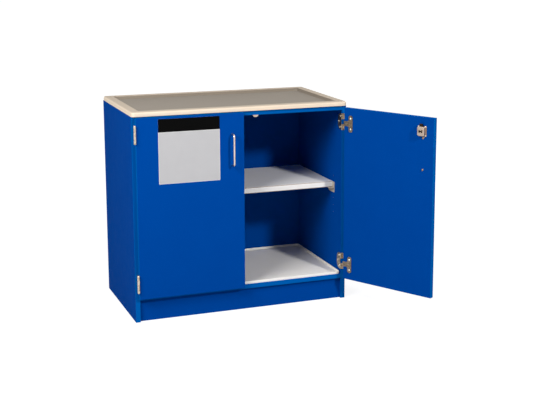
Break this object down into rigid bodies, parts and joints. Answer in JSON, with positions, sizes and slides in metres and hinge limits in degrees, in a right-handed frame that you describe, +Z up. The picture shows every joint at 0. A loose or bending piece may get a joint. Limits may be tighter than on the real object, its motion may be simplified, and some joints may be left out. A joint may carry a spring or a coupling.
{
  "type": "undercounter acid cabinet",
  "caption": "Undercounter cabinet for corrosives: laminate carcass with toe board, spill tray top, lined inside with a shelf, hinged double doors with bar pulls and a cam lock.",
  "frame": {"origin": "middle of the toe board's foot, on the floor, midway between the side panels", "axes": "+X to the right seen from the front, +Y to the back, +Z up; the doors are at -Y"},
  "size_m": [1.125, 0.9378, 0.8562],
  "materials": {
    "blue_laminate": "satin blue melamine laminate on board, edges banded in the same blue",
    "white_laminate": "satin white laminate on board",
    "tray_plastic": "cream moulded plastic, fine matt texture",
    "liner_plastic": "off-white moulded plastic",
    "clip_plastic": "grey-beige moulded plastic",
    "hinge_steel": "dull nickel plate",
    "screw_steel": "bright zinc plate",
    "pull_steel": "satin nickel plate",
    "lock_metal": "satin nickel plate on die casting",
    "plug_brass": "turned brass",
    "catch_plastic": "dark moulded plastic",
    "catch_steel": "zinc-plated steel"
  },
  "bodies": {
    "carcass": {"left_side_panel": "blue_laminate", "right_side_panel": "blue_laminate", "top_panel": "blue_laminate", "floor_panel": "blue_laminate", "back_panel": "blue_laminate", "toe_kick": "blue_laminate", "rear_base_rail": "blue_laminate", "back_panel_screws": "screw_steel", "top_tray": "tray_plastic", "floor_liner": "liner_plastic", "shelf": "white_laminate", "left_front_shelf_clip": "clip_plastic", "right_front_shelf_clip": "clip_plastic", "left_back_shelf_clip": "clip_plastic", "right_back_shelf_clip": "clip_plastic", "left_upper_hinge_side_leaf": "hinge_steel", "right_upper_hinge_side_leaf": "hinge_steel", "left_upper_hinge_pin": "hinge_steel", "right_upper_hinge_pin": "hinge_steel", "left_lower_hinge_side_leaf": "hinge_steel", "right_lower_hinge_side_leaf": "hinge_steel", "left_lower_hinge_pin": "hinge_steel", "right_lower_hinge_pin": "hinge_steel", "hinge_side_screws": "screw_steel", "strike_plate": "lock_metal", "strike_screws": "screw_steel", "catch_case": "catch_plastic", "catch_magnet": "catch_steel", "catch_screws": "screw_steel"},
    "left_door": {"left_door_panel": "blue_laminate", "left_upper_hinge_door_leaf": "hinge_steel", "left_lower_hinge_door_leaf": "hinge_steel", "left_door_hinge_screws": "screw_steel", "left_door_pull": "pull_steel", "left_pull_screws": "screw_steel", "catch_plate": "catch_steel", "catch_plate_screws": "screw_steel"},
    "right_door": {"right_door_panel": "blue_laminate", "right_upper_hinge_door_leaf": "hinge_steel", "right_lower_hinge_door_leaf": "hinge_steel", "right_door_hinge_screws": "screw_steel", "right_door_pull": "pull_steel", "right_pull_screws": "screw_steel", "lock_case": "lock_metal", "lock_case_screws": "screw_steel", "lock_cylinder": "lock_metal"},
    "lock_plug": {"lock_plug": "plug_brass"},
    "lock_bolt": {"lock_bolt": "lock_metal"}
  },
  "joints": [
    {"name": "left_door_hinge", "type": "hinge", "parent": "carcass", "child": "left_door", "pos_m": [-0.44925, -0.04925, 0.468], "axis": [0, 0, -1], "range_deg": [0, 260]},
    {"name": "right_door_hinge", "type": "hinge", "parent": "carcass", "child": "right_door", "pos_m": [0.44925, -0.04925, 0.468], "axis": [0, 0, 1], "range_deg": [-119, 141]},
    {"name": "key_turn", "type": "hinge", "parent": "right_door", "child": "lock_plug", "pos_m": [0.61903, -0.40453, 0.779], "axis": [0.8746, 0.4848, 0], "range_deg": [0, 90]},
    {"name": "bolt_slide", "type": "slide", "parent": "right_door", "child": "lock_bolt", "axis": [0, 0, 1], "range_m": [0, 0.0087]}
  ],
  "couplings": [
    {"joint": "key_turn", "follows": "bolt_slide", "rad_per_m": 180.55}
  ]
}
